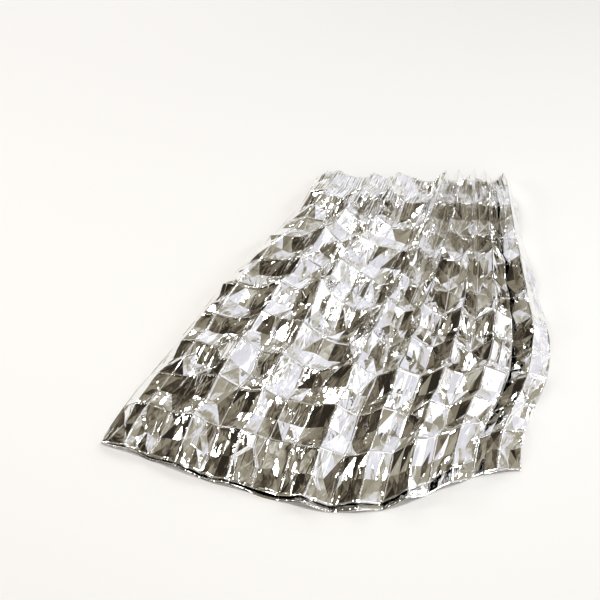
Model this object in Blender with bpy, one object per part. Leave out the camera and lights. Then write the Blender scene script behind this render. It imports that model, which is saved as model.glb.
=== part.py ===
"""Emergency foil blanket, folded over and laid on the floor.

One rectangular sheet of metallised film, 2.1 m by 1.3 m, with cut edges and no hem. It was packed flat,
folded into 32 panels across and 10 down, so it opens as a grid of small panels with sharp folds between them.

It is turned over on itself near its middle. The under layer lies on the floor, and the upper layer lies on
it with some air between, a little short of it at the open side. One long edge is still gathered. Pleats run
from there through both layers, nested in each other, and open out towards the other long edge, so that the
sheet lies as a fan.

Frame: metres, +Z up, the floor at z = 0, the gathered edge towards +Y and the turned edge towards -X.
The origin is under the middle of the sheet's box.
"""

from collections import namedtuple

import bpy
import numpy as np

# The sheet as cut, and the panels that it was packed in
SHEET_ACROSS = 2.100
SHEET_DOWN = 1.300
PANELS_ACROSS = 32
PANELS_DOWN = 10
UNDER_PANELS = 17
THICKNESS = 0.0012

# Each panel is modelled in two steps each way, so that it can buckle in its middle
STEPS_PER_PANEL = 2
PANEL_ACROSS = SHEET_ACROSS / PANELS_ACROSS
STEP_ACROSS = PANEL_ACROSS / STEPS_PER_PANEL
STEP_DOWN = SHEET_DOWN / PANELS_DOWN / STEPS_PER_PANEL
UNDER_STEPS = UNDER_PANELS * STEPS_PER_PANEL
UPPER_STEPS = (PANELS_ACROSS - UNDER_PANELS) * STEPS_PER_PANEL

# The pleats. Each ridge is one of the pack folds, counted from the turned edge, and the folds beside it lie
# low. The ridge's height is given at the gathered edge and at the open edge, with how far its crest leans.
Pleat = namedtuple("Pleat", "fold gathered opened lean")
PLEATS = (
    Pleat(fold=1, gathered=0.036, opened=0.008, lean=0.003),
    Pleat(fold=3, gathered=0.047, opened=0.014, lean=0.006),
    Pleat(fold=5, gathered=0.050, opened=0.009, lean=-0.005),
    Pleat(fold=8, gathered=0.057, opened=0.019, lean=0.006),
    Pleat(fold=10, gathered=0.060, opened=0.011, lean=-0.005),
    Pleat(fold=12, gathered=0.061, opened=0.024, lean=0.006),
    Pleat(fold=14, gathered=0.058, opened=0.013, lean=-0.004),
    Pleat(fold=16, gathered=0.054, opened=0.010, lean=0.004),
)

# How much lower the ridges are at the gathered edge itself, where the film bends over, and how soon they rise
EDGE_DROOP = 0.38
DROOP_REACH = 0.055

# The pack folds that cross the pleats, from the gathered edge to the open one. One that was folded up stands
# as a low ridge, and one that was folded down pinches the pleats that it crosses.
CROSS_FOLD_RISES = (0.000, 0.005, -0.005, 0.006, -0.004, 0.006, -0.004, 0.007, -0.005, 0.006, 0.000)

# The air between the layers: its usual height, its least height beside the turn, at the gathered edge and at
# the open one, and how far it sinks towards the upper layer's cut edges
USUAL_AIR = 0.015
LEAST_AIR_BY_TURN = 0.011
LEAST_AIR_GATHERED = 0.009
LEAST_AIR_OPENED = 0.006
EDGE_SINKS = 0.65
SINK_REACH = 0.050

# Where the upper layer stands higher: place out from the turned edge and down the sheet, reach, and rise
Hump = namedtuple("Hump", "out down reach_out reach_down rise")
HUMPS = (
    Hump(out=0.24, down=0.58, reach_out=0.17, reach_down=0.36, rise=0.042),
    Hump(out=0.36, down=1.04, reach_out=0.22, reach_down=0.13, rise=0.028),
    Hump(out=0.66, down=0.82, reach_out=0.14, reach_down=0.20, rise=0.020),
    Hump(out=0.84, down=1.08, reach_out=0.12, reach_down=0.12, rise=0.014),
)

# Slanting folds that were dragged into the upper layer: where each begins and ends, its reach, and its rise
Drag = namedtuple("Drag", "out down to_out to_down reach rise")
DRAGS = (
    Drag(out=0.52, down=0.12, to_out=0.12, to_down=1.16, reach=0.090, rise=0.030),
    Drag(out=0.62, down=0.30, to_out=0.42, to_down=1.26, reach=0.080, rise=0.022),
    Drag(out=0.30, down=0.06, to_out=0.06, to_down=0.62, reach=0.085, rise=0.022),
)

# Where both layers were pushed aside as they were laid down: place, reach, and how far the film was moved.
# The gathered edge was drawn over to the open side, and the open edge's corners in, so that it is rounded.
Push = namedtuple("Push", "out down reach move_x move_y")
PUSHES = (
    Push(out=0.56, down=0.00, reach=0.90, move_x=0.150, move_y=0.000),
    Push(out=0.00, down=0.00, reach=0.46, move_x=0.070, move_y=-0.090),
    Push(out=0.00, down=1.30, reach=0.55, move_x=-0.020, move_y=0.120),
    Push(out=1.12, down=1.30, reach=0.60, move_x=-0.030, move_y=0.150),
    Push(out=1.14, down=1.32, reach=0.34, move_x=-0.060, move_y=0.080),
    Push(out=1.08, down=0.80, reach=0.40, move_x=0.060, move_y=0.000),
    Push(out=0.46, down=1.30, reach=0.40, move_x=0.000, move_y=-0.040),
    Push(out=0.08, down=0.92, reach=0.22, move_x=0.014, move_y=-0.010),
    Push(out=0.40, down=1.30, reach=0.15, move_x=0.000, move_y=0.010),
    Push(out=0.72, down=1.30, reach=0.17, move_x=0.004, move_y=-0.012),
)

# Where that shortened the upper layer, how much of the length left over goes into the rise of its cross folds
SHORTENING_RISES = 0.45

# The open corner of the upper layer, which curls up: how far in from each edge it begins, and its tip
CORNER_REACH_OUT = 0.24
CORNER_REACH_DOWN = 0.26
CORNER_LIFT = 0.036
CORNER_CURL = 1.3

# How much the panels buckle between the folds, and what is left of it where the highest pleats hold them
CHECKER_RISE = 0.009
PEAK_RISE = 0.006
PANEL_HOLLOW = 0.003
SCATTER = 0.0024
PLAN_SCATTER = 0.0025
HELD_BY_PLEATS = 0.40
RELIEF_TAKES_UP = 0.985
SCATTER_SEED = 11

# How far the under layer's open corner sticks out past the upper layer, and how sharply that grows down it
UNDER_PEEKS_OUT = 0.024
PEEK_CURVE = 3

FILM_COLOUR = (0.86, 0.86, 0.85, 1.0)
FILM_ROUGHNESS = 0.12


def clear_scene():
    for obj in list(bpy.data.objects):
        bpy.data.objects.remove(obj, do_unlink=True)


def plan_width(rise, slope_length=PANEL_ACROSS):
    """What a length of film measures in plan when one end is that much higher than the other."""
    return np.sqrt(slope_length**2 - rise**2)


def pleat_heights(out, down):
    """Height of the pleats, with out and down in steps. A panel's plan width grows evenly from the gathered
    edge to the open one, as it has to in a flat film, and the ridge is as high as that width leaves over."""
    share = down / (PANELS_DOWN * STEPS_PER_PANEL)
    ridges = np.zeros(out.shape)
    for pleat in PLEATS:
        width = (1 - share) * plan_width(pleat.gathered) + share * plan_width(pleat.opened)
        beside = np.abs(out / STEPS_PER_PANEL - pleat.fold)
        ridges += np.sqrt(PANEL_ACROSS**2 - width**2) * np.clip(1 - beside, 0, None)
    return ridges


def pleat_leans(out, down):
    """How far each crest leans sideways, most at the gathered edge."""
    leans = np.zeros(out.shape)
    for pleat in PLEATS:
        beside = np.abs(out / STEPS_PER_PANEL - pleat.fold)
        leans += pleat.lean * np.clip(1 - beside, 0, None)
    return leans * (1 - down / down.max())


def fan_plan():
    """Where each step of the under layer lies in plan, as x and y by steps out and down.

    Every column of steps is a straight line. From one column to the next the line turns by what the width
    between them gains from the gathered edge to the open one, divided by the sheet's length."""
    out, down = np.meshgrid(
        np.arange(UNDER_STEPS + 1), np.arange(PANELS_DOWN * STEPS_PER_PANEL + 1), indexing="ij"
    )
    widths = RELIEF_TAKES_UP * plan_width(np.diff(pleat_heights(out, down), axis=0), STEP_ACROSS)
    turns = (widths[:, -1] - widths[:, 0]) / (RELIEF_TAKES_UP * SHEET_DOWN)
    start = -turns.sum() / 2
    heading = start + np.cumsum(turns) - turns / 2
    down_the_side = RELIEF_TAKES_UP * STEP_DOWN * down[0]
    x = np.vstack([np.sin(start) * down_the_side, widths * np.cos(heading)[:, None]]).cumsum(axis=0)
    y = np.vstack([-np.cos(start) * down_the_side, widths * np.sin(heading)[:, None]]).cumsum(axis=0)
    return x + pleat_leans(out, down), y


def push_moves(out, down):
    """How far each place was pushed aside, in x and y: most at each push's middle, and fading round it."""
    move_x, move_y = np.zeros(out.shape), np.zeros(out.shape)
    for push in PUSHES:
        off_out, off_down = out * STEP_ACROSS - push.out, down * STEP_DOWN - push.down
        share = np.exp(-(off_out**2 + off_down**2) / push.reach**2)
        move_x += push.move_x * share
        move_y += push.move_y * share
    return move_x, move_y


def air_heights(out, down):
    """How high the upper layer stands over the under one before it buckles: the usual air, rounded humps and
    the straight slanting folds with their sharp crests, all lower by the cut edges, and the corner's curl."""
    out, down = out * STEP_ACROSS, down * STEP_DOWN
    air = np.full(out.shape, USUAL_AIR)
    for hump in HUMPS:
        off_out, off_down = (out - hump.out) / hump.reach_out, (down - hump.down) / hump.reach_down
        air += hump.rise * np.exp(-(off_out**2) - off_down**2)
    for drag in DRAGS:
        length = np.hypot(drag.to_out - drag.out, drag.to_down - drag.down)
        run_out, run_down = (drag.to_out - drag.out) / length, (drag.to_down - drag.down) / length
        along = ((out - drag.out) * run_out + (down - drag.down) * run_down) / length
        aside = np.abs((out - drag.out) * run_down - (down - drag.down) * run_out) / drag.reach
        swell = np.sqrt(np.clip(4 * along * (1 - along), 0, None))
        air += drag.rise * swell * np.clip(1 - aside, 0, None)
    from_side = UPPER_STEPS * STEP_ACROSS - out
    from_end = SHEET_DOWN - down
    air *= 1 - EDGE_SINKS * np.exp(-np.clip(np.minimum(from_side, from_end), 0, None) / SINK_REACH)
    in_corner = 1 - from_side / CORNER_REACH_OUT - from_end / CORNER_REACH_DOWN
    return air + CORNER_LIFT * np.clip(in_corner, 0, None) ** CORNER_CURL


def shortened_rises(x, y, out, down):
    """Where the pushes shortened the film, its cross folds stand up by a share of what a step has left over.
    Beside the turned edge they do not."""
    spans = np.hypot(np.diff(x, axis=1), np.diff(y, axis=1)) / RELIEF_TAKES_UP
    spare = np.sqrt(np.clip(STEP_DOWN**2 - spans**2, 0, None))
    most = np.maximum(np.pad(spare, ((0, 0), (1, 0))), np.pad(spare, ((0, 0), (0, 1))))
    inside = (down % STEPS_PER_PANEL == 0) & (down > 0) & (down < down.max())
    return SHORTENING_RISES * most * inside * np.clip(out / STEPS_PER_PANEL - 1, 0, 1)


def fold_relief(out, down, pleats):
    """The relief of the pack folds: cross folds, the checkered rise and fall of the other folds, peaks where
    folds cross, and hollow panels. It is less where the pleats pull the film straight."""
    slack = 1 - (1 - HELD_BY_PLEATS) * pleats.max(axis=1, keepdims=True) / pleats.max()
    cross_rises = np.interp(down, np.arange(PANELS_DOWN + 1) * STEPS_PER_PANEL, CROSS_FOLD_RISES)
    on_cross_fold = down % STEPS_PER_PANEL == 0
    on_long_fold = out % STEPS_PER_PANEL == 0
    up_or_down = np.where((out // STEPS_PER_PANEL + down // STEPS_PER_PANEL) % 2 == 0, 1.0, -1.0)
    relief = np.where(on_cross_fold, cross_rises, 0.0)
    relief += np.where(on_long_fold & ~on_cross_fold, CHECKER_RISE * up_or_down * slack, 0.0)
    relief += np.where(on_long_fold & on_cross_fold, PEAK_RISE * np.clip(up_or_down, 0, None) * slack, 0.0)
    return relief - np.where(~on_long_fold & ~on_cross_fold, PANEL_HOLLOW, 0.0)


def sheet_points():
    """The grid of points of the sheet's outer face, as an array of across, down and xyz. Across runs from the
    open side of the under layer to the turned edge, and back on the upper layer. Where the under layer is
    covered it has only the pleats, and lies level on the floor beside them."""
    rows = PANELS_DOWN * STEPS_PER_PANEL + 1
    across, down = np.meshgrid(np.arange(PANELS_ACROSS * STEPS_PER_PANEL + 1), np.arange(rows), indexing="ij")
    out = np.abs(across - UNDER_STEPS)
    is_upper = across > UNDER_STEPS
    covered = ~is_upper & (out < UPPER_STEPS)
    draws = np.random.default_rng(SCATTER_SEED).uniform(-1, 1, (3, UNDER_STEPS + 1, rows))
    scatter = draws[:, out, down]

    plan_x, plan_y = fan_plan()
    move_x, move_y = push_moves(out, down)
    x, y = plan_x[out, down] + move_x, plan_y[out, down] + move_y

    pleats = pleat_heights(out, down)
    relief = fold_relief(out, down, pleats) + SCATTER * scatter[0]
    relief += np.where(is_upper, shortened_rises(x, y, out, down), 0.0)
    pleats *= 1 - EDGE_DROOP * np.exp(-down * STEP_DOWN / DROOP_REACH)
    least_air = np.interp(down, (0, rows - 1), (LEAST_AIR_GATHERED, LEAST_AIR_OPENED))
    least_air = np.where(out <= STEPS_PER_PANEL, LEAST_AIR_BY_TURN, least_air)
    air = (out > 0) * np.maximum(air_heights(out, down) + relief, least_air)
    bare = np.clip(pleats + relief, 0, None)
    height = np.where(is_upper, pleats + air, np.where(covered, pleats, bare))

    x += PLAN_SCATTER * scatter[1]
    y += PLAN_SCATTER * scatter[2]
    y -= np.where(is_upper, 0.0, UNDER_PEEKS_OUT * (out / out.max()) * (down / down.max()) ** PEEK_CURVE)
    x -= (x.max() + x.min()) / 2
    y -= (y.max() + y.min()) / 2
    return np.stack([x, y, height], axis=-1)


def facets(shape):
    """The triangles of the grid, which face up on the under layer. Each step of the grid is split along one
    diagonal, and which one it is changes unevenly from step to step, as the buckles in the film do."""
    across, down = np.meshgrid(np.arange(shape[0] - 1), np.arange(shape[1] - 1), indexing="ij")
    near = (across * shape[1] + down).ravel()
    beside, below, beyond = near + shape[1], near + 1, near + shape[1] + 1
    falling = np.random.default_rng(SCATTER_SEED + 1).uniform(-1, 1, (near.size, 1)) < 0
    first = np.where(falling, np.stack([near, beside, beyond], 1), np.stack([near, beside, below], 1))
    second = np.where(falling, np.stack([near, beyond, below], 1), np.stack([beside, beyond, below], 1))
    return np.concatenate([first, second]).tolist()


def film_material():
    material = bpy.data.materials.new("metallised_film")
    material.use_nodes = True
    shader = material.node_tree.nodes["Principled BSDF"]
    shader.inputs["Base Color"].default_value = FILM_COLOUR
    shader.inputs["Metallic"].default_value = 1.0
    shader.inputs["Roughness"].default_value = FILM_ROUGHNESS
    return material


def make_sheet():
    """The film gets its thickness towards the inside of the turn, so its underside stays level."""
    points = sheet_points()
    mesh = bpy.data.meshes.new("foil_sheet")
    mesh.from_pydata(points.reshape(-1, 3).tolist(), [], facets(points.shape[:2]))
    mesh.materials.append(film_material())
    sheet = bpy.data.objects.new("foil_sheet", mesh)
    bpy.context.scene.collection.objects.link(sheet)
    film = sheet.modifiers.new("film thickness", "SOLIDIFY")
    film.thickness = THICKNESS
    film.offset = 1.0
    return sheet


clear_scene()
make_sheet()
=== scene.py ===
"""Looks of the emergency foil blanket: a sheet of metallised film, turned over on itself and laid on a floor.

The sheet is one surface of two parameters, across and down the flat film, worked out in arrays. It starts
from the same pleats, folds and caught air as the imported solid. Fold ridges, opened folds, stars at the
crossings, gathers, flutes by the open edge and crumpled facets are added to it, and the wear and the smallest
creases come from its material.
"""

import math
from collections import namedtuple

import bpy
import numpy as np
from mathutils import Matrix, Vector


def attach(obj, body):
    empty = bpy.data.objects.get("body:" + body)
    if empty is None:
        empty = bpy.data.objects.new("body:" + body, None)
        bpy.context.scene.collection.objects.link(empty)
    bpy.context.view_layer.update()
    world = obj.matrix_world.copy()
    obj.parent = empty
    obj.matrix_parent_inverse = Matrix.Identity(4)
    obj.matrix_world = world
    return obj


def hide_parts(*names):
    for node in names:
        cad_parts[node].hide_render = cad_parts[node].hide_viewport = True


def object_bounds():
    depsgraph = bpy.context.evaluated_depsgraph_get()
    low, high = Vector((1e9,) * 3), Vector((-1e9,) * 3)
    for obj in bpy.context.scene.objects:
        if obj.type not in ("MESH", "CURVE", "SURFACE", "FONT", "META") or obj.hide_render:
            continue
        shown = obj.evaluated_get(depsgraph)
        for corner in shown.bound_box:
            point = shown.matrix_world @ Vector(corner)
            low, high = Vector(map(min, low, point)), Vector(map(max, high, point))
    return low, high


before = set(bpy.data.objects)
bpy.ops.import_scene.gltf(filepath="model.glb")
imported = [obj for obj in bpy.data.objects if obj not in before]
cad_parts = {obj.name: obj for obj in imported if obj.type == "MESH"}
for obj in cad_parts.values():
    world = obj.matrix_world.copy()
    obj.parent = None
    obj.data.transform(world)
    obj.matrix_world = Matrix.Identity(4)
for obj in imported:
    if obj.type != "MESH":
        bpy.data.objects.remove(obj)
CAD_BOX = [list(corner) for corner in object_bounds()]

# The sheet as cut, and the panels that it was packed in, in metres
SHEET_ACROSS = 2.100
SHEET_DOWN = 1.300
PANELS_ACROSS = 32
PANELS_DOWN = 10
UNDER_PANELS = 17
FILM_THICKNESS = 0.0003

# The solid's own steps: two to a panel each way
STEPS_PER_PANEL = 2
PANEL_ACROSS = SHEET_ACROSS / PANELS_ACROSS
PANEL_DOWN = SHEET_DOWN / PANELS_DOWN
STEP_ACROSS = PANEL_ACROSS / STEPS_PER_PANEL
STEP_DOWN = PANEL_DOWN / STEPS_PER_PANEL
UNDER_STEPS = UNDER_PANELS * STEPS_PER_PANEL
UPPER_STEPS = (PANELS_ACROSS - UNDER_PANELS) * STEPS_PER_PANEL

# The pleats, as in the solid: ridges on pack folds counted from the turned edge, their height at both edges
Pleat = namedtuple("Pleat", "fold gathered opened lean")
PLEATS = (
    Pleat(fold=1, gathered=0.036, opened=0.008, lean=0.003),
    Pleat(fold=3, gathered=0.047, opened=0.014, lean=0.006),
    Pleat(fold=5, gathered=0.050, opened=0.009, lean=-0.005),
    Pleat(fold=8, gathered=0.057, opened=0.019, lean=0.006),
    Pleat(fold=10, gathered=0.060, opened=0.011, lean=-0.005),
    Pleat(fold=12, gathered=0.061, opened=0.024, lean=0.006),
    Pleat(fold=14, gathered=0.058, opened=0.013, lean=-0.004),
    Pleat(fold=16, gathered=0.054, opened=0.010, lean=0.004),
)

# How much lower the ridges are at the gathered edge itself, where the film bends over, and how soon they rise
EDGE_DROOP = 0.38
DROOP_REACH = 0.055

# The pack folds that cross the pleats, from the gathered edge to the open one. One that was folded up stands
# as a low ridge, and one that was folded down pinches the pleats that it crosses.
CROSS_FOLD_RISES = (0.000, 0.005, -0.005, 0.006, -0.004, 0.006, -0.004, 0.007, -0.005, 0.006, 0.000)

# The air between the layers: its usual height, its least height beside the turn, at the gathered edge and at
# the open one, and how far it sinks towards the upper layer's cut edges
USUAL_AIR = 0.015
LEAST_AIR_BY_TURN = 0.011
LEAST_AIR_GATHERED = 0.009
LEAST_AIR_OPENED = 0.006
EDGE_SINKS = 0.65
SINK_REACH = 0.050

# Where the upper layer stands higher: place out from the turned edge and down the sheet, reach, and rise
Hump = namedtuple("Hump", "out down reach_out reach_down rise")
HUMPS = (
    Hump(out=0.24, down=0.58, reach_out=0.17, reach_down=0.36, rise=0.042),
    Hump(out=0.36, down=1.04, reach_out=0.22, reach_down=0.13, rise=0.028),
    Hump(out=0.66, down=0.82, reach_out=0.14, reach_down=0.20, rise=0.020),
    Hump(out=0.84, down=1.08, reach_out=0.12, reach_down=0.12, rise=0.014),
)

# Slanting folds that were dragged into the upper layer: where each begins and ends, its reach, and its rise
Drag = namedtuple("Drag", "out down to_out to_down reach rise")
DRAGS = (
    Drag(out=0.52, down=0.12, to_out=0.12, to_down=1.16, reach=0.090, rise=0.030),
    Drag(out=0.62, down=0.30, to_out=0.42, to_down=1.26, reach=0.080, rise=0.022),
    Drag(out=0.30, down=0.06, to_out=0.06, to_down=0.62, reach=0.085, rise=0.022),
)

# Where both layers were pushed aside as they were laid down: place, reach, and how far the film was moved.
# The gathered edge was drawn over to the open side, and the open edge's corners in, so that it is rounded.
Push = namedtuple("Push", "out down reach move_x move_y")
PUSHES = (
    Push(out=0.56, down=0.00, reach=0.90, move_x=0.150, move_y=0.000),
    Push(out=0.00, down=0.00, reach=0.46, move_x=0.070, move_y=-0.090),
    Push(out=0.00, down=1.30, reach=0.55, move_x=-0.020, move_y=0.120),
    Push(out=1.12, down=1.30, reach=0.60, move_x=-0.030, move_y=0.150),
    Push(out=1.14, down=1.32, reach=0.34, move_x=-0.060, move_y=0.080),
    Push(out=1.08, down=0.80, reach=0.40, move_x=0.060, move_y=0.000),
    Push(out=0.46, down=1.30, reach=0.40, move_x=0.000, move_y=-0.040),
    Push(out=0.08, down=0.92, reach=0.22, move_x=0.014, move_y=-0.010),
    Push(out=0.40, down=1.30, reach=0.15, move_x=0.000, move_y=0.010),
    Push(out=0.72, down=1.30, reach=0.17, move_x=0.004, move_y=-0.012),
)

# Where that shortened the upper layer, how much of the length left over goes into the rise of its cross folds
SHORTENING_RISES = 0.45

# The open corner of the upper layer, which curls up: how far in from each edge it begins, and its tip
CORNER_REACH_OUT = 0.24
CORNER_REACH_DOWN = 0.26
CORNER_LIFT = 0.036
CORNER_CURL = 1.3

# How much the panels buckle between the folds, and what is left of it where the highest pleats hold them
CHECKER_RISE = 0.009
PEAK_RISE = 0.006
PANEL_HOLLOW = 0.003
SCATTER = 0.0024
PLAN_SCATTER = 0.0025
HELD_BY_PLEATS = 0.40
RELIEF_TAKES_UP = 0.985
SCATTER_SEED = 11

# How far the under layer's open corner sticks out past the upper layer, and how sharply that grows down it
UNDER_PEEKS_OUT = 0.024
PEEK_CURVE = 3

# The finer facets: how many each step is split into, first and then
FIRST_SPLIT = 2
SECOND_SPLIT = 4
FINE_PER_STEP = FIRST_SPLIT * SECOND_SPLIT
CREASE_SEED = 23

# Crumpled facets: how far their corners stand out and shift, and how many panels are calm
BUCKLE = 0.0021
BUCKLE_SHIFT = 0.0060
CALM_LEVEL = 0.10
FEW_ARE_CRUMPLED = 3.0
OPEN_EDGE_IS_CRUMPLED = 0.7
HELD_BY_FOLDS = 0.25

# Each panel between its folds bulges or sinks a little as a whole
BULGE = 0.0011

# Opened folds: on each side of a fold lies a narrow facet, widest in the middle of the panel
LONG_OPENING = 0.023
LONG_SLOPE = 0.32
CROSS_OPENING = 0.013
CROSS_SLOPE = 0.20
FEW_ARE_OPEN = 1.6

# The sharp ridge that every pack fold keeps
FOLD_RISE = 0.0008
FOLD_REACH = 0.0045

# Stars of narrow facets that run out from the places where folds cross
STAR_SLOPE = 0.17
STAR_REACH = 0.048
STAR_RAYS = 3
FEW_ARE_STARS = 2.0

# The small pleats by which the gathered edge was drawn in
GATHER_RISE = 0.0019
GATHER_REACH = 0.075
GATHER_STRENGTHS = (-0.3, 1.7)

# How far the first panel beside the turned edge bulges out, and by how many bulges to a panel down
TURN_BULGE = 0.010
TURN_BULGES_PER_PANEL = 3

# The short flutes that the open edge was crumpled into
FLUTE_RISE = 0.006
FLUTE_REACH = 0.060
FLUTES_PER_PANEL = 4

# The panels near the side edge are calmer: from which one and to which, and what is left of the small forms
CALM_FROM = 24
CALM_TO = 28
CALM_SHARE = 0.35

# How wide a column is in plan, as a share of its flat width: where steep pleats leave no room for finer
# folds, and from where on they leave all of it
TIGHT_SHARE = 0.35
LOOSE_SHARE = 0.70

# A facet edge that bends more than this is a crease, and a gentler one is a curve
CREASE_ANGLE = math.radians(5)


def plan_width(rise, slope_length=PANEL_ACROSS):
    """The plan width of a length of film is the side of a right triangle: root of length squared less rise
    squared."""
    return np.sqrt(slope_length**2 - rise**2)


def pleat_heights(out, down):
    """Each ridge is a tent over its two panels. Their plan width grows evenly from the gathered edge to the
    open one, and the ridge is as high as that width leaves over."""
    share = down / (PANELS_DOWN * STEPS_PER_PANEL)
    ridges = np.zeros(out.shape)
    for pleat in PLEATS:
        width = (1 - share) * plan_width(pleat.gathered) + share * plan_width(pleat.opened)
        beside = np.abs(out / STEPS_PER_PANEL - pleat.fold)
        ridges += np.sqrt(PANEL_ACROSS**2 - width**2) * np.clip(1 - beside, 0, None)
    return ridges


def pleat_leans(out, down):
    """Each crest leans sideways by its own amount at the gathered edge, and by evenly less down the sheet."""
    leans = np.zeros(out.shape)
    for pleat in PLEATS:
        beside = np.abs(out / STEPS_PER_PANEL - pleat.fold)
        leans += pleat.lean * np.clip(1 - beside, 0, None)
    return leans * (1 - down / down.max())


def fan_plan():
    """Each column of steps is a straight line, and turns from the one before it by what the width between
    them gains from one edge to the other, divided by the sheet's length. Places are running sums of
    widths."""
    out, down = np.meshgrid(
        np.arange(UNDER_STEPS + 1), np.arange(PANELS_DOWN * STEPS_PER_PANEL + 1), indexing="ij"
    )
    widths = RELIEF_TAKES_UP * plan_width(np.diff(pleat_heights(out, down), axis=0), STEP_ACROSS)
    turns = (widths[:, -1] - widths[:, 0]) / (RELIEF_TAKES_UP * SHEET_DOWN)
    start = -turns.sum() / 2
    heading = start + np.cumsum(turns) - turns / 2
    down_the_side = RELIEF_TAKES_UP * STEP_DOWN * down[0]
    x = np.vstack([np.sin(start) * down_the_side, widths * np.cos(heading)[:, None]]).cumsum(axis=0)
    y = np.vstack([-np.cos(start) * down_the_side, widths * np.sin(heading)[:, None]]).cumsum(axis=0)
    return x + pleat_leans(out, down), y


def push_moves(out, down):
    """Each place moves by the sum of all pushes, each one bell-shaped round its own middle."""
    move_x, move_y = np.zeros(out.shape), np.zeros(out.shape)
    for push in PUSHES:
        off_out, off_down = out * STEP_ACROSS - push.out, down * STEP_DOWN - push.down
        share = np.exp(-(off_out**2 + off_down**2) / push.reach**2)
        move_x += push.move_x * share
        move_y += push.move_y * share
    return move_x, move_y


def air_heights(out, down):
    """The upper layer's height over the under one: the usual air, plus bell-shaped humps, plus tents along
    the slanting folds that swell and sink along their length, all sinking exponentially towards the cut
    edges, plus the open corner's curl, a power of the distance into the corner."""
    out, down = out * STEP_ACROSS, down * STEP_DOWN
    air = np.full(out.shape, USUAL_AIR)
    for hump in HUMPS:
        off_out, off_down = (out - hump.out) / hump.reach_out, (down - hump.down) / hump.reach_down
        air += hump.rise * np.exp(-(off_out**2) - off_down**2)
    for drag in DRAGS:
        length = np.hypot(drag.to_out - drag.out, drag.to_down - drag.down)
        run_out, run_down = (drag.to_out - drag.out) / length, (drag.to_down - drag.down) / length
        along = ((out - drag.out) * run_out + (down - drag.down) * run_down) / length
        aside = np.abs((out - drag.out) * run_down - (down - drag.down) * run_out) / drag.reach
        swell = np.sqrt(np.clip(4 * along * (1 - along), 0, None))
        air += drag.rise * swell * np.clip(1 - aside, 0, None)
    from_side = UPPER_STEPS * STEP_ACROSS - out
    from_end = SHEET_DOWN - down
    air *= 1 - EDGE_SINKS * np.exp(-np.clip(np.minimum(from_side, from_end), 0, None) / SINK_REACH)
    in_corner = 1 - from_side / CORNER_REACH_OUT - from_end / CORNER_REACH_DOWN
    return air + CORNER_LIFT * np.clip(in_corner, 0, None) ** CORNER_CURL


def shortened_rises(x, y, out, down):
    """A cross fold stands up by a share of what its steps have left over: the root of the step's length
    squared less its plan length squared. It fades in evenly from the first fold beside the turned edge to the
    second."""
    spans = np.hypot(np.diff(x, axis=1), np.diff(y, axis=1)) / RELIEF_TAKES_UP
    spare = np.sqrt(np.clip(STEP_DOWN**2 - spans**2, 0, None))
    most = np.maximum(np.pad(spare, ((0, 0), (1, 0))), np.pad(spare, ((0, 0), (0, 1))))
    inside = (down % STEPS_PER_PANEL == 0) & (down > 0) & (down < down.max())
    return SHORTENING_RISES * most * inside * np.clip(out / STEPS_PER_PANEL - 1, 0, 1)


def fold_relief(out, down, pleats):
    """Cross folds rise or pinch by the table. Between them the long folds go up and down like a checkerboard,
    with a peak where two folds that stand up cross, and every panel is hollow in its middle."""
    slack = 1 - (1 - HELD_BY_PLEATS) * pleats.max(axis=1, keepdims=True) / pleats.max()
    cross_rises = np.interp(down, np.arange(PANELS_DOWN + 1) * STEPS_PER_PANEL, CROSS_FOLD_RISES)
    on_cross_fold = down % STEPS_PER_PANEL == 0
    on_long_fold = out % STEPS_PER_PANEL == 0
    up_or_down = np.where((out // STEPS_PER_PANEL + down // STEPS_PER_PANEL) % 2 == 0, 1.0, -1.0)
    relief = np.where(on_cross_fold, cross_rises, 0.0)
    relief += np.where(on_long_fold & ~on_cross_fold, CHECKER_RISE * up_or_down * slack, 0.0)
    relief += np.where(on_long_fold & on_cross_fold, PEAK_RISE * np.clip(up_or_down, 0, None) * slack, 0.0)
    return relief - np.where(~on_long_fold & ~on_cross_fold, PANEL_HOLLOW, 0.0)


def step_points():
    """The solid's own grid of points, as an array of across, down and xyz. Across runs from the open side of
    the under layer to the turned edge, and back on the upper layer, which stands over it by the air."""
    rows = PANELS_DOWN * STEPS_PER_PANEL + 1
    across, down = np.meshgrid(np.arange(PANELS_ACROSS * STEPS_PER_PANEL + 1), np.arange(rows), indexing="ij")
    out = np.abs(across - UNDER_STEPS)
    is_upper = across > UNDER_STEPS
    covered = ~is_upper & (out < UPPER_STEPS)
    draws = np.random.default_rng(SCATTER_SEED).uniform(-1, 1, (3, UNDER_STEPS + 1, rows))
    scatter = draws[:, out, down]

    plan_x, plan_y = fan_plan()
    move_x, move_y = push_moves(out, down)
    x, y = plan_x[out, down] + move_x, plan_y[out, down] + move_y

    pleats = pleat_heights(out, down)
    relief = fold_relief(out, down, pleats) + SCATTER * scatter[0]
    relief += np.where(is_upper, shortened_rises(x, y, out, down), 0.0)
    pleats *= 1 - EDGE_DROOP * np.exp(-down * STEP_DOWN / DROOP_REACH)
    least_air = np.interp(down, (0, rows - 1), (LEAST_AIR_GATHERED, LEAST_AIR_OPENED))
    least_air = np.where(out <= STEPS_PER_PANEL, LEAST_AIR_BY_TURN, least_air)
    air = (out > 0) * np.maximum(air_heights(out, down) + relief, least_air)
    bare = np.clip(pleats + relief, 0, None)
    height = np.where(is_upper, pleats + air, np.where(covered, pleats, bare))

    x += PLAN_SCATTER * scatter[1]
    y += PLAN_SCATTER * scatter[2]
    y -= np.where(is_upper, 0.0, UNDER_PEEKS_OUT * (out / out.max()) * (down / down.max()) ** PEEK_CURVE)
    x -= (x.max() + x.min()) / 2
    y -= (y.max() + y.min()) / 2
    return np.stack([x, y, height], axis=-1)


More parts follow.
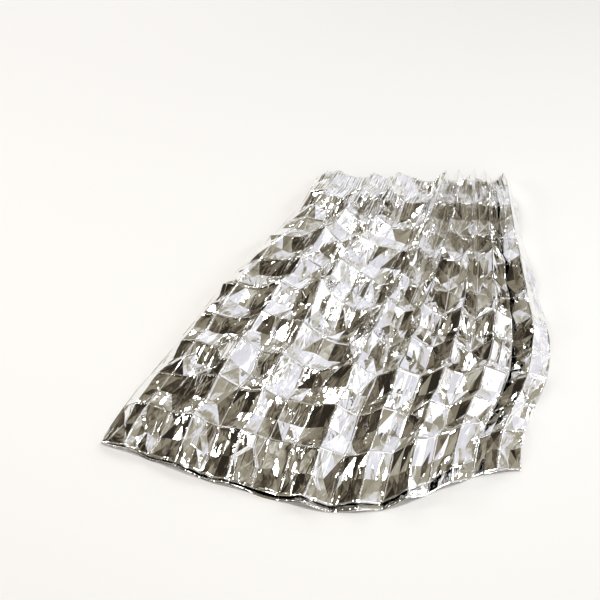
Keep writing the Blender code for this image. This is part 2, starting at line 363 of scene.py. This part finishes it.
def step_diagonals(shape):
    """Which way each step of the solid is split: true where its diagonal runs from the near corner."""
    cells = (shape[0] - 1, shape[1] - 1)
    return np.random.default_rng(SCATTER_SEED + 1).uniform(-1, 1, cells) < 0


def split_points(points, falls, factor):
    """Every cell becomes factor by factor cells that lie on its own two triangles. A point's place is on the
    plane through the triangle's corners, at the point's share of the way across and down the cell."""
    columns, rows = falls.shape
    i, j = np.meshgrid(np.arange(columns * factor + 1), np.arange(rows * factor + 1), indexing="ij")
    column, row = np.minimum(i // factor, columns - 1), np.minimum(j // factor, rows - 1)
    u = (i / factor - column)[..., None]
    v = (j / factor - row)[..., None]
    near, beside = points[column, row], points[column + 1, row]
    below, beyond = points[column, row + 1], points[column + 1, row + 1]
    falling = np.where(
        u >= v,
        near + u * (beside - near) + v * (beyond - beside),
        near + v * (below - near) + u * (beyond - below),
    )
    rising = np.where(
        u + v <= 1,
        near + u * (beside - near) + v * (below - near),
        beyond + (1 - u) * (below - beyond) + (1 - v) * (beside - beyond),
    )
    return np.where(falls[column, row][..., None], falling, rising)


def split_diagonals(falls, factor, rng):
    """The finer cells on a cell's own diagonal keep its direction, and the others take one at random."""
    i, j = np.meshgrid(np.arange(falls.shape[0] * factor), np.arange(falls.shape[1] * factor), indexing="ij")
    parent = falls[i // factor, j // factor]
    finer = rng.uniform(-1, 1, i.shape) < 0
    finer = np.where(parent & (i % factor == j % factor), True, finer)
    return np.where(~parent & (i % factor + j % factor == factor - 1), False, finer)


def up_normals(points):
    """The direction square to the surface at each point, taken so that it looks up: the cross product of the
    differences across and down."""
    normals = np.cross(np.gradient(points, axis=0), np.gradient(points, axis=1))
    normals /= np.linalg.norm(normals, axis=-1, keepdims=True)
    return normals * np.where(normals[..., 2:] < 0, -1, 1)


def shown_share(columns):
    """One on the upper layer and on the bare side of the under one, and none on the turned edge and where the
    under layer is covered, with a step of change between."""
    step = np.linspace(0, PANELS_ACROSS * STEPS_PER_PANEL, columns) - UNDER_STEPS
    return (np.clip(step, 0, 1) + np.clip(-UPPER_STEPS - step, 0, 1))[:, None]


def panel_places(shape):
    """Each point's place as a number of panels across and down the flat film."""
    return np.meshgrid(
        np.linspace(0, PANELS_ACROSS, shape[0]), np.linspace(0, PANELS_DOWN, shape[1]), indexing="ij"
    )


def loose_share(points):
    """How free the film is of steep pleats, by how wide a column of points is in plan, as a share of its
    width in the flat film: none up to the tight share, one from the loose share on, and even between."""
    flat_width = SHEET_ACROSS / (points.shape[0] - 1)
    width = np.linalg.norm(np.gradient(points[..., :2], axis=0), axis=-1) / flat_width
    return np.clip((width - TIGHT_SHARE) / (LOOSE_SHARE - TIGHT_SHARE), 0, 1)


def crumple_levels(shape, rng):
    """How crumpled each place is. A panel's level is a high power of a random number, so that few are high,
    and more by the open edge. The levels blend into each other from one panel's middle to the next."""
    levels = CALM_LEVEL + rng.uniform(0, 1, (PANELS_ACROSS, PANELS_DOWN)) ** FEW_ARE_CRUMPLED
    levels[:, -1] += OPEN_EDGE_IS_CRUMPLED
    across, down = np.linspace(0, PANELS_ACROSS, shape[0]), np.linspace(0, PANELS_DOWN, shape[1])
    middles_across, middles_down = np.arange(PANELS_ACROSS) + 0.5, np.arange(PANELS_DOWN) + 0.5
    by_row = np.stack([np.interp(across, middles_across, level) for level in levels.T], axis=1)
    return np.stack([np.interp(down, middles_down, column) for column in by_row])


def crumpled(points, rng):
    """Corners of the first finer facets stand out or in along the normal and shift in plan, by uniform random
    shares of the buckle. Corners on the pack folds stand out less, and the solid's own corners not at all."""
    i, j = np.meshgrid(np.arange(points.shape[0]), np.arange(points.shape[1]), indexing="ij")
    own_corner = (i % FIRST_SPLIT == 0) & (j % FIRST_SPLIT == 0)
    on_fold = (i % (FIRST_SPLIT * STEPS_PER_PANEL) == 0) | (j % (FIRST_SPLIT * STEPS_PER_PANEL) == 0)
    free = crumple_levels(i.shape, rng) * shown_share(i.shape[0]) * loose_share(points)
    free = free * calm_side(panel_places(i.shape)[0])
    free = free * np.where(own_corner, 0.0, np.where(on_fold, HELD_BY_FOLDS, 1.0))
    offsets = rng.uniform(-1, 1, (3, *i.shape))
    points = points + up_normals(points) * (BUCKLE * free * offsets[0])[..., None]
    points[..., :2] += (BUCKLE_SHIFT * np.where(on_fold, 0.0, free) * offsets[1:]).transpose(1, 2, 0)
    return points


def bulges(across, down, rng):
    """A panel's bulge is its own height times the sine of half a turn each way, so none on the folds."""
    heights = rng.uniform(-1, 1, (PANELS_ACROSS + 1, PANELS_DOWN + 1))
    column, row = across.astype(int), down.astype(int)
    return BULGE * heights[column, row] * np.abs(np.sin(np.pi * across) * np.sin(np.pi * down))


def opened_folds(across, down, panel_length, opening, slope, rng):
    """The facets beside the folds that run down. The film slopes evenly from the fold to the edge of a lens
    shape, whose width is the opening times the sine of half a turn down the panel. Each side of each fold in
    each panel has its own slope and opening, and most are narrow. Swapping the first two arguments gives the
    folds that run across."""
    fold, row = np.round(across).astype(int), down.astype(int)
    side = (across > fold).astype(int)
    draws = rng.uniform(-1, 1, (2, 2, fold.max() + 1, row.max() + 1))[:, side, fold, row]
    lens = opening * np.abs(draws[0]) ** FEW_ARE_OPEN * np.abs(np.sin(np.pi * down))
    return slope * draws[1] * np.clip(lens - np.abs(across - fold) * panel_length, 0, None)


def fold_ridges(across, down):
    """The ridge of each fold is an exponential of the distance from it, with a sharp crest, up and down by
    turns like a checkerboard. The higher of the ridges across and down counts."""
    from_long = np.abs(across - np.round(across)) * PANEL_ACROSS
    from_cross = np.abs(down - np.round(down)) * PANEL_DOWN
    way_long = np.where((np.round(across) + np.floor(down)) % 2 == 0, 1.0, -1.0)
    way_cross = np.where((np.floor(across) + np.round(down)) % 2 == 0, 1.0, -1.0)
    ridges = way_long * np.exp(-from_long / FOLD_REACH) + way_cross * np.exp(-from_cross / FOLD_REACH)
    return FOLD_RISE * ridges


def stars(across, down, rng):
    """Round each crossing the film is a fan of facets: the distance from the crossing, times a triangle wave
    of the angle, fading evenly to nothing at the star's reach. Each star has its own slope and turn."""
    crossing, row = np.round(across).astype(int), np.round(down).astype(int)
    away_across, away_down = (across - crossing) * PANEL_ACROSS, (down - row) * PANEL_DOWN
    slopes, turns = rng.uniform(0, 1, (2, PANELS_ACROSS + 1, PANELS_DOWN + 1))[:, crossing, row]
    angle = np.arctan2(away_down, away_across) / (2 * np.pi) + turns
    wave = 4 * np.abs(STAR_RAYS * angle - np.floor(STAR_RAYS * angle) - 0.5) - 1
    away = np.hypot(away_across, away_down)
    return STAR_SLOPE * slopes**FEW_ARE_STARS * wave * away * np.clip(1 - away / STAR_REACH, 0, None)


def gathers(shape, rng):
    """Every other column of points stands out and the rest in, by an exponential of the distance from the
    gathered edge, with each column's own strength."""
    way = np.where(np.arange(shape[0]) % 2 == 0, 1.0, -1.0) * rng.uniform(*GATHER_STRENGTHS, shape[0])
    fade = np.exp(-np.linspace(0, SHEET_DOWN, shape[1]) / GATHER_REACH)
    return GATHER_RISE * way[:, None] * fade[None, :]


def calm_side(across):
    """One over most of the sheet, and evenly less towards its side edge, where it lies calmer."""
    return np.interp(across, (CALM_FROM, CALM_TO), (1, CALM_SHARE))


def hem_flutes(across, down, rng):
    """Short flutes by the upper layer's open edge. Their height is random at even places across the sheet,
    with straight lines between them, and fades evenly to nothing at the flutes' reach."""
    places = np.linspace(0, PANELS_ACROSS, PANELS_ACROSS * FLUTES_PER_PANEL + 1)
    heights = FLUTE_RISE * rng.uniform(0, 1, places.shape)
    from_edge = (PANELS_DOWN - down) * PANEL_DOWN
    fade = np.clip(1 - from_edge / FLUTE_REACH, 0, None) * (across > UNDER_PANELS)
    return np.interp(across, places, heights) * fade


def turned_edge_bulges(across, down, rng):
    """The first panel on from the turned edge stands out as a tent over its width. The tent's height is
    random at even places down the sheet, with straight lines between them, and none by the open edge."""
    places = np.linspace(0, PANELS_DOWN, PANELS_DOWN * TURN_BULGES_PER_PANEL + 1)
    heights = TURN_BULGE * rng.uniform(0, 1, places.shape) * (places < PANELS_DOWN - 1)
    tent = np.clip(1 - 2 * np.abs(across - UNDER_PANELS - 0.5), 0, None)
    return tent * np.interp(down, places, heights)


def film_points():
    """The film's outer face and the diagonals of its cells. The solid's steps are split and crumpled, then
    split again, and the forms beside and between the folds are added along the normal, where the film shows.
    The flutes are added straight up."""
    rng = np.random.default_rng(CREASE_SEED)
    points = step_points()
    falls = step_diagonals(points.shape)
    points = crumpled(split_points(points, falls, FIRST_SPLIT), rng)
    falls = split_diagonals(falls, FIRST_SPLIT, rng)
    points = split_points(points, falls, SECOND_SPLIT)
    falls = split_diagonals(falls, SECOND_SPLIT, rng)

    across, down = panel_places(points.shape)
    rise = bulges(across, down, rng)
    long_openings = opened_folds(across, down, PANEL_ACROSS, LONG_OPENING, LONG_SLOPE, rng)
    rise += opened_folds(down, across, PANEL_DOWN, CROSS_OPENING, CROSS_SLOPE, rng)
    rise = (rise + stars(across, down, rng)) * calm_side(across)
    rise += long_openings + fold_ridges(across, down) + gathers(across.shape, rng)
    flutes = hem_flutes(across, down, rng) * loose_share(points)
    rise *= shown_share(points.shape[0]) * loose_share(points)
    rise += turned_edge_bulges(across, down, rng)
    points = points + up_normals(points) * rise[..., None]
    points[..., 2] = np.clip(points[..., 2] + flutes, 0, None)
    return points, falls


def film_triangles(falls, rows):
    """Two triangles to each cell, facing up on the under layer, split along the cell's diagonal."""
    i, j = np.meshgrid(np.arange(falls.shape[0]), np.arange(falls.shape[1]), indexing="ij")
    near = (i * rows + j).ravel()
    beside, below, beyond = near + rows, near + 1, near + rows + 1
    falling = falls.ravel()[:, None]
    first = np.where(falling, np.stack([near, beside, beyond], 1), np.stack([near, beside, below], 1))
    second = np.where(falling, np.stack([near, beyond, below], 1), np.stack([beside, beyond, below], 1))
    return np.concatenate([first, second])


def kept_columns(columns):
    """The covered part of the under layer needs only the solid's own columns. The rest keeps all of them."""
    column = np.arange(columns)
    bare, turned_edge = (UNDER_STEPS - UPPER_STEPS) * FINE_PER_STEP, UNDER_STEPS * FINE_PER_STEP
    covered = (column > bare) & (column < turned_edge)
    return column[~covered | (column % FINE_PER_STEP == 0)]


def make_film():
    """The film as a mesh with its flat place as UV, in metres, and with its thickness towards the inside."""
    points, falls = film_points()
    columns, rows = np.linspace(0, SHEET_ACROSS, points.shape[0]), np.linspace(0, SHEET_DOWN, points.shape[1])
    flat = np.stack(np.meshgrid(columns, rows, indexing="ij"), axis=-1)
    kept = kept_columns(points.shape[0])
    points, flat, falls = points[kept], flat[kept], falls[kept[:-1]]
    triangles = film_triangles(falls, points.shape[1])
    mesh = bpy.data.meshes.new("film")
    mesh.from_pydata(points.reshape(-1, 3), [], triangles)
    mesh.uv_layers.new(name="flat").data.foreach_set("uv", flat.reshape(-1, 2)[triangles.ravel()].ravel())
    mesh.shade_smooth()
    mesh.set_sharp_from_angle(angle=CREASE_ANGLE)
    film = bpy.data.objects.new("film", mesh)
    bpy.context.scene.collection.objects.link(film)
    thickness = film.modifiers.new("film thickness", "SOLIDIFY")
    thickness.thickness = FILM_THICKNESS
    thickness.offset = 1.0
    return film


def new_group(name, inputs, outputs):
    """A shader node group with named inputs and outputs. Returns its tree and its two end nodes."""
    tree = bpy.data.node_groups.new(name, "ShaderNodeTree")
    for socket, kind in inputs:
        tree.interface.new_socket(name=socket, in_out="INPUT", socket_type=kind)
    for socket, kind in outputs:
        tree.interface.new_socket(name=socket, in_out="OUTPUT", socket_type=kind)
    return tree, tree.nodes.new("NodeGroupInput"), tree.nodes.new("NodeGroupOutput")


def maths(tree, operation, first, second=None, third=None, clamp=False):
    """A Math node on numbers or sockets. Returns its result."""
    node = tree.nodes.new("ShaderNodeMath")
    node.operation = operation
    node.use_clamp = clamp
    for index, value in enumerate((first, second, third)):
        if isinstance(value, bpy.types.NodeSocket):
            tree.links.new(value, node.inputs[index])
        elif value is not None:
            node.inputs[index].default_value = value
    return node.outputs[0]


def noise(tree, vector, scale, detail, roughness=0.5):
    """A noise texture on a vector socket. Returns its value, which is about one half on average."""
    node = tree.nodes.new("ShaderNodeTexNoise")
    node.inputs["Scale"].default_value = scale
    node.inputs["Detail"].default_value = detail
    node.inputs["Roughness"].default_value = roughness
    tree.links.new(vector, node.inputs["Vector"])
    return node.outputs["Fac"]


# Where a finish stands and where it doesn't, by noise: its scale, detail and roughness, contrast and offset
Patches = namedtuple("Patches", "scale detail roughness contrast offset")
LARGE_CRINKLES_STAND = Patches(scale=14.0, detail=2.0, roughness=0.5, contrast=3.2, offset=-1.1)
SMALL_CRINKLES_STAND = Patches(scale=17.0, detail=2.0, roughness=0.5, contrast=4.0, offset=-1.2)
LINE_IS_KEPT = Patches(scale=30.0, detail=2.0, roughness=0.5, contrast=2.0, offset=0.0)
SCUFFS = Patches(scale=9.0, detail=5.0, roughness=0.65, contrast=2.6, offset=-0.9)


def patches(tree, flat, where):
    """A share from none to one over the flat place: noise times its contrast plus its offset."""
    value = noise(tree, flat, where.scale, where.detail, where.roughness)
    return maths(tree, "MULTIPLY_ADD", value, where.contrast, where.offset, clamp=True)


def crinkle_group():
    """Small flat facets: cells like hipped roofs, each up or down by its own amount. A point's height is its
    distance from the cell's edge, times the cell's own steepness."""
    tree, start, end = new_group(
        "crinkle",
        [("Flat", "NodeSocketVector"), ("Cell Size", "NodeSocketFloat"), ("Steepness", "NodeSocketFloat")],
        [("Height", "NodeSocketFloat")],
    )
    scale = maths(tree, "DIVIDE", 1.0, start.outputs["Cell Size"])
    edge = tree.nodes.new("ShaderNodeTexVoronoi")
    edge.feature = "DISTANCE_TO_EDGE"
    cell = tree.nodes.new("ShaderNodeTexVoronoi")
    for node in (edge, cell):
        node.voronoi_dimensions = "2D"
        tree.links.new(start.outputs["Flat"], node.inputs["Vector"])
        tree.links.new(scale, node.inputs["Scale"])
    split = tree.nodes.new("ShaderNodeSeparateColor")
    tree.links.new(cell.outputs["Color"], split.inputs["Color"])
    way = maths(tree, "MULTIPLY_ADD", split.outputs[0], 2.0, -1.0)
    distance = maths(tree, "MULTIPLY", edge.outputs["Distance"], start.outputs["Cell Size"])
    height = maths(tree, "MULTIPLY", maths(tree, "MULTIPLY", distance, way), start.outputs["Steepness"])
    tree.links.new(height, end.inputs["Height"])
    return tree


def crease_group():
    """A net of fine straight creases: the height is the distance from the edge of a cell, up to a reach and
    level from there on, so that a sharp valley runs along every edge."""
    tree, start, end = new_group(
        "fine creases",
        [
            ("Flat", "NodeSocketVector"),
            ("Spacing", "NodeSocketFloat"),
            ("Reach", "NodeSocketFloat"),
            ("Depth", "NodeSocketFloat"),
        ],
        [("Height", "NodeSocketFloat")],
    )
    edge = tree.nodes.new("ShaderNodeTexVoronoi")
    edge.feature = "DISTANCE_TO_EDGE"
    edge.voronoi_dimensions = "2D"
    tree.links.new(start.outputs["Flat"], edge.inputs["Vector"])
    tree.links.new(maths(tree, "DIVIDE", 1.0, start.outputs["Spacing"]), edge.inputs["Scale"])
    distance = maths(tree, "MULTIPLY", edge.outputs["Distance"], start.outputs["Spacing"])
    share = maths(tree, "DIVIDE", distance, start.outputs["Reach"], clamp=True)
    tree.links.new(maths(tree, "MULTIPLY", share, start.outputs["Depth"]), end.inputs["Height"])
    return tree


def fold_line_group():
    """The worn line along each pack fold: full on the fold, nothing a line's width away, and broken up by
    noise."""
    tree, start, end = new_group(
        "fold line",
        [
            ("Flat", "NodeSocketVector"),
            ("Panel Across", "NodeSocketFloat"),
            ("Panel Down", "NodeSocketFloat"),
            ("Line Width", "NodeSocketFloat"),
        ],
        [("Line", "NodeSocketFloat")],
    )
    place = tree.nodes.new("ShaderNodeSeparateXYZ")
    tree.links.new(start.outputs["Flat"], place.inputs["Vector"])
    distances = []
    for axis, panel in (("X", "Panel Across"), ("Y", "Panel Down")):
        half = maths(tree, "MULTIPLY", start.outputs[panel], 0.5)
        distances.append(maths(tree, "PINGPONG", place.outputs[axis], half))
    nearest = maths(tree, "MINIMUM", *distances)
    away = maths(tree, "DIVIDE", nearest, start.outputs["Line Width"])
    line = maths(tree, "SUBTRACT", 1.0, away, clamp=True)
    kept = patches(tree, start.outputs["Flat"], LINE_IS_KEPT)
    tree.links.new(maths(tree, "MULTIPLY", line, kept), end.inputs["Line"])
    return tree


def panel_group():
    """A random number for each panel between the pack folds: white noise of the panel's count across and
    down, which are the place divided by the panel's size and rounded down."""
    tree, start, end = new_group(
        "panel level",
        [
            ("Flat", "NodeSocketVector"),
            ("Panel Across", "NodeSocketFloat"),
            ("Panel Down", "NodeSocketFloat"),
        ],
        [("Level", "NodeSocketFloat")],
    )
    place = tree.nodes.new("ShaderNodeSeparateXYZ")
    tree.links.new(start.outputs["Flat"], place.inputs["Vector"])
    count = tree.nodes.new("ShaderNodeCombineXYZ")
    for axis, panel in (("X", "Panel Across"), ("Y", "Panel Down")):
        panels = maths(tree, "DIVIDE", place.outputs[axis], start.outputs[panel])
        tree.links.new(maths(tree, "FLOOR", panels), count.inputs[axis])
    level = tree.nodes.new("ShaderNodeTexWhiteNoise")
    level.noise_dimensions = "2D"
    tree.links.new(count.outputs["Vector"], level.inputs["Vector"])
    tree.links.new(level.outputs["Value"], end.inputs["Level"])
    return tree


# The film's colour and roughness, on its face and on the worn fold lines
FILM_COLOUR = (0.93, 0.93, 0.925, 1.0)
WORN_COLOUR = (0.90, 0.89, 0.87, 1.0)
SMOOTH_ROUGHNESS = 0.02
SCUFFED_ROUGHNESS = 0.06
FOLD_ROUGHNESS = 0.25
FOLD_LINE_WIDTH = 0.0026
FOLD_LINE_RISE = 0.0015

# The two sizes of crinkle: how large their cells are, and how steep their facets
Crinkle = namedtuple("Crinkle", "cell_size steepness")
LARGE_CRINKLE = Crinkle(cell_size=0.020, steepness=0.060)
SMALL_CRINKLE = Crinkle(cell_size=0.0085, steepness=0.075)

# The fine creases: how far apart, how wide to each side and how deep they are, and the least share of them
CREASE_SPACING = 0.016
CREASE_REACH = 0.0016
CREASE_DEPTH = 0.0005
LEAST_CREASED = 0.1

# The panels' size, as the groups that follow the pack folds take it
PANEL_SIZES = {"Panel_Across": PANEL_ACROSS, "Panel_Down": PANEL_DOWN}

# What is left of lengths down the sheet where a pattern is drawn out that way, and how far it is turned
Layout = namedtuple("Layout", "share turn")
CRINKLE_LAYOUT = Layout(share=0.55, turn=math.radians(12))
CREASE_LAYOUT = Layout(share=0.22, turn=math.radians(-8))


def place_group(tree, group, flat, **values):
    """A group placed in a material, on the film's flat place, with its own values. Returns its output."""
    node = tree.nodes.new("ShaderNodeGroup")
    node.node_tree = group
    tree.links.new(flat, node.inputs["Flat"])
    for name, value in values.items():
        node.inputs[name.replace("_", " ")].default_value = value
    return node.outputs[0]


def laid_out(tree, flat, layout):
    """The flat place, shortened down the sheet, so that what is laid on it is drawn out that way, and then
    turned, so that no two patterns line up."""
    node = tree.nodes.new("ShaderNodeMapping")
    tree.links.new(flat, node.inputs["Vector"])
    node.inputs["Scale"].default_value = (1.0, layout.share, 1.0)
    node.inputs["Rotation"].default_value = (0.0, 0.0, layout.turn)
    return node.outputs["Vector"]


def calm_places(tree, flat):
    """One over most of the flat place, and evenly less towards the side edge, as for the film's own forms."""
    place = tree.nodes.new("ShaderNodeSeparateXYZ")
    tree.links.new(flat, place.inputs["Vector"])
    calm = tree.nodes.new("ShaderNodeMapRange")
    tree.links.new(place.outputs["X"], calm.inputs["Value"])
    calm.inputs["From Min"].default_value = CALM_FROM * PANEL_ACROSS
    calm.inputs["From Max"].default_value = CALM_TO * PANEL_ACROSS
    calm.inputs["To Min"].default_value = 1.0
    calm.inputs["To Max"].default_value = CALM_SHARE
    return calm.outputs["Result"]


def film_relief(tree, flat, line):
    """The height of what is too fine for the mesh: two sizes of crinkle, each in its own places, and fine
    creases, more in some panels than in others. All of it is less by the side edge. The worn lines stand up
    everywhere."""
    crinkle, laid = crinkle_group(), laid_out(tree, flat, CRINKLE_LAYOUT)
    large, small = (
        place_group(tree, crinkle, laid, Cell_Size=size.cell_size, Steepness=size.steepness)
        for size in (LARGE_CRINKLE, SMALL_CRINKLE)
    )
    creases = place_group(
        tree,
        crease_group(),
        laid_out(tree, flat, CREASE_LAYOUT),
        Spacing=CREASE_SPACING,
        Reach=CREASE_REACH,
        Depth=CREASE_DEPTH,
    )
    level = place_group(tree, panel_group(), flat, **PANEL_SIZES)
    creased = maths(tree, "MULTIPLY_ADD", level, level, LEAST_CREASED)
    in_some = patches(tree, flat, LARGE_CRINKLES_STAND)
    in_others = patches(tree, flat, SMALL_CRINKLES_STAND)
    height = maths(tree, "MULTIPLY_ADD", large, in_some, maths(tree, "MULTIPLY", small, in_others))
    height = maths(tree, "MULTIPLY_ADD", maths(tree, "MULTIPLY", creases, in_others), creased, height)
    height = maths(tree, "MULTIPLY", height, calm_places(tree, flat))
    return maths(tree, "MULTIPLY_ADD", line, FOLD_LINE_RISE, height)


def film_material():
    """Bright aluminium on film. It is rougher where it is scuffed and on the worn fold lines, which are a
    little duller too, and the finest relief is bump."""
    material = bpy.data.materials.new("metallised_film")
    material.use_nodes = True
    tree = material.node_tree
    shader = tree.nodes["Principled BSDF"]
    shader.inputs["Metallic"].default_value = 1.0
    place = tree.nodes.new("ShaderNodeUVMap")
    place.uv_map = "flat"
    flat = place.outputs["UV"]

    line = place_group(tree, fold_line_group(), flat, **PANEL_SIZES, Line_Width=FOLD_LINE_WIDTH)
    bump = tree.nodes.new("ShaderNodeBump")
    bump.inputs["Strength"].default_value = 1.0
    bump.inputs["Distance"].default_value = 1.0
    tree.links.new(film_relief(tree, flat, line), bump.inputs["Height"])
    tree.links.new(bump.outputs["Normal"], shader.inputs["Normal"])

    scuffs = patches(tree, flat, SCUFFS)
    rough = maths(tree, "MULTIPLY_ADD", scuffs, SCUFFED_ROUGHNESS - SMOOTH_ROUGHNESS, SMOOTH_ROUGHNESS)
    rough = maths(tree, "MULTIPLY_ADD", line, FOLD_ROUGHNESS, rough)
    tree.links.new(rough, shader.inputs["Roughness"])

    colour = tree.nodes.new("ShaderNodeMix")
    colour.data_type = "RGBA"
    colour.inputs["A"].default_value = FILM_COLOUR
    colour.inputs["B"].default_value = WORN_COLOUR
    tree.links.new(line, colour.inputs["Factor"])
    tree.links.new(colour.outputs["Result"], shader.inputs["Base Color"])
    return material


# The view: the photograph's own side, from above, and how far the aim is off the sheet's middle
CAMERA_AZIMUTH = math.radians(8)
CAMERA_ELEVATION = math.radians(46)
CAMERA_DISTANCE = 3.15
CAMERA_LENS = 72.0
AIM_LEFT = 0.12

# The floor
FLOOR_SIZE = 40.0
FLOOR_COLOUR = (0.95, 0.95, 0.945, 1.0)
FLOOR_ROUGHNESS = 0.85


def make_camera():
    """The camera stands back along its line of sight, and aims a little left of the sheet's middle."""
    low, high = (Vector(corner) for corner in CAD_BOX)
    middle = (low + high) / 2
    sight = Vector(
        (
            math.sin(CAMERA_AZIMUTH) * math.cos(CAMERA_ELEVATION),
            -math.cos(CAMERA_AZIMUTH) * math.cos(CAMERA_ELEVATION),
            math.sin(CAMERA_ELEVATION),
        )
    )
    turn = sight.to_track_quat("Z", "Y")
    aim = middle + turn @ Vector((-AIM_LEFT, 0, 0))
    camera = bpy.data.objects.new("camera", bpy.data.cameras.new("camera"))
    camera.data.lens = CAMERA_LENS
    camera.location = aim + sight * CAMERA_DISTANCE
    camera.rotation_euler = turn.to_euler()
    bpy.context.scene.collection.objects.link(camera)
    bpy.context.scene.camera = camera


def make_floor():
    """A plain pale floor, large enough for a low view."""
    half = FLOOR_SIZE / 2
    mesh = bpy.data.meshes.new("floor")
    corners = [(-half, -half, 0), (half, -half, 0), (half, half, 0), (-half, half, 0)]
    mesh.from_pydata(corners, [], [(0, 1, 2, 3)])
    floor = bpy.data.objects.new("floor", mesh)
    bpy.context.scene.collection.objects.link(floor)
    material = bpy.data.materials.new("pale floor")
    material.use_nodes = True
    shader = material.node_tree.nodes["Principled BSDF"]
    shader.inputs["Base Color"].default_value = FLOOR_COLOUR
    shader.inputs["Roughness"].default_value = FLOOR_ROUGHNESS
    mesh.materials.append(material)


# The lamps: where each one hangs, its width and height, its power in watts and its colour
Lamp = namedtuple("Lamp", "name place width height power colour")
LAMPS = (
    Lamp("top softbox", (0.4, -0.6, 3.2), 0.9, 0.7, 45.0, (1.0, 0.99, 0.97)),
    Lamp("back softbox", (-1.8, 3.0, 1.9), 0.4, 0.9, 22.0, (0.97, 0.97, 1.0)),
    Lamp("left softbox", (-3.2, -0.3, 1.5), 0.5, 0.8, 26.0, (1.0, 0.97, 0.93)),
    Lamp("right softbox", (3.0, 1.4, 1.8), 0.4, 1.0, 26.0, (0.96, 0.97, 1.0)),
)


def make_lamps():
    """Large soft lamps round the sheet, each one turned to the sheet's middle."""
    for lamp in LAMPS:
        light = bpy.data.lights.new(lamp.name, "AREA")
        light.shape = "RECTANGLE"
        light.size = lamp.width
        light.size_y = lamp.height
        light.energy = lamp.power
        light.color = lamp.colour
        holder = bpy.data.objects.new(lamp.name, light)
        holder.location = lamp.place
        holder.rotation_euler = Vector(lamp.place).to_track_quat("Z", "Y").to_euler()
        bpy.context.scene.collection.objects.link(holder)


# What the camera sees behind the floor, and what the film reflects: how many patches the room has, how much
# paler it is to the right, and its colours from its darkest patches to its palest
BACKDROP_COLOUR = (0.95, 0.95, 0.95, 1.0)
ROOM_PATCHES = 1.55
ROOM_DETAIL = 1.0
PALER_TO_THE_RIGHT = 0.24
ROOM_STOPS = (
    (0.208, (0.030, 0.024, 0.018)),
    (0.298, (0.090, 0.073, 0.051)),
    (0.358, (0.225, 0.196, 0.142)),
    (0.448, (0.335, 0.305, 0.230)),
    (0.518, (0.430, 0.400, 0.320)),
    (0.558, (0.560, 0.535, 0.470)),
    (0.588, (0.700, 0.675, 0.615)),
    (0.638, (0.770, 0.755, 0.830)),
    (0.708, (0.830, 0.830, 0.890)),
    (0.768, (1.200, 1.200, 1.200)),
)


def make_world():
    """What the film reflects: a room of dark, khaki and pale patches, by noise on the direction plus a share
    of how far the direction points right. The camera itself sees a plain pale backdrop."""
    world = bpy.data.worlds.new("room")
    bpy.context.scene.world = world
    world.use_nodes = True
    tree = world.node_tree
    room = tree.nodes["Background"]
    direction = tree.nodes.new("ShaderNodeTexCoord").outputs["Generated"]
    parts = tree.nodes.new("ShaderNodeSeparateXYZ")
    tree.links.new(direction, parts.inputs["Vector"])
    patchwork = noise(tree, direction, ROOM_PATCHES, ROOM_DETAIL)
    paleness = maths(tree, "MULTIPLY_ADD", parts.outputs["X"], PALER_TO_THE_RIGHT, patchwork)
    colours = tree.nodes.new("ShaderNodeValToRGB")
    ramp = colours.color_ramp
    while len(ramp.elements) < len(ROOM_STOPS):
        ramp.elements.new(0.5)
    for element, (position, colour) in zip(ramp.elements, ROOM_STOPS):
        element.position = position
        element.color = (*colour, 1.0)
    tree.links.new(paleness, colours.inputs["Fac"])
    tree.links.new(colours.outputs["Color"], room.inputs["Color"])
    backdrop = tree.nodes.new("ShaderNodeBackground")
    backdrop.inputs["Color"].default_value = BACKDROP_COLOUR
    choose = tree.nodes.new("ShaderNodeMixShader")
    tree.links.new(tree.nodes.new("ShaderNodeLightPath").outputs["Is Camera Ray"], choose.inputs["Fac"])
    tree.links.new(room.outputs["Background"], choose.inputs[1])
    tree.links.new(backdrop.outputs["Background"], choose.inputs[2])
    tree.links.new(choose.outputs["Shader"], tree.nodes["World Output"].inputs["Surface"])


make_camera()
make_floor()
make_lamps()
make_world()
bpy.context.scene.view_settings.view_transform = "Standard"
bpy.context.scene.cycles.use_denoising = True

film = make_film()
film.data.materials.append(film_material())
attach(film, "root")
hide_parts("foil_sheet")
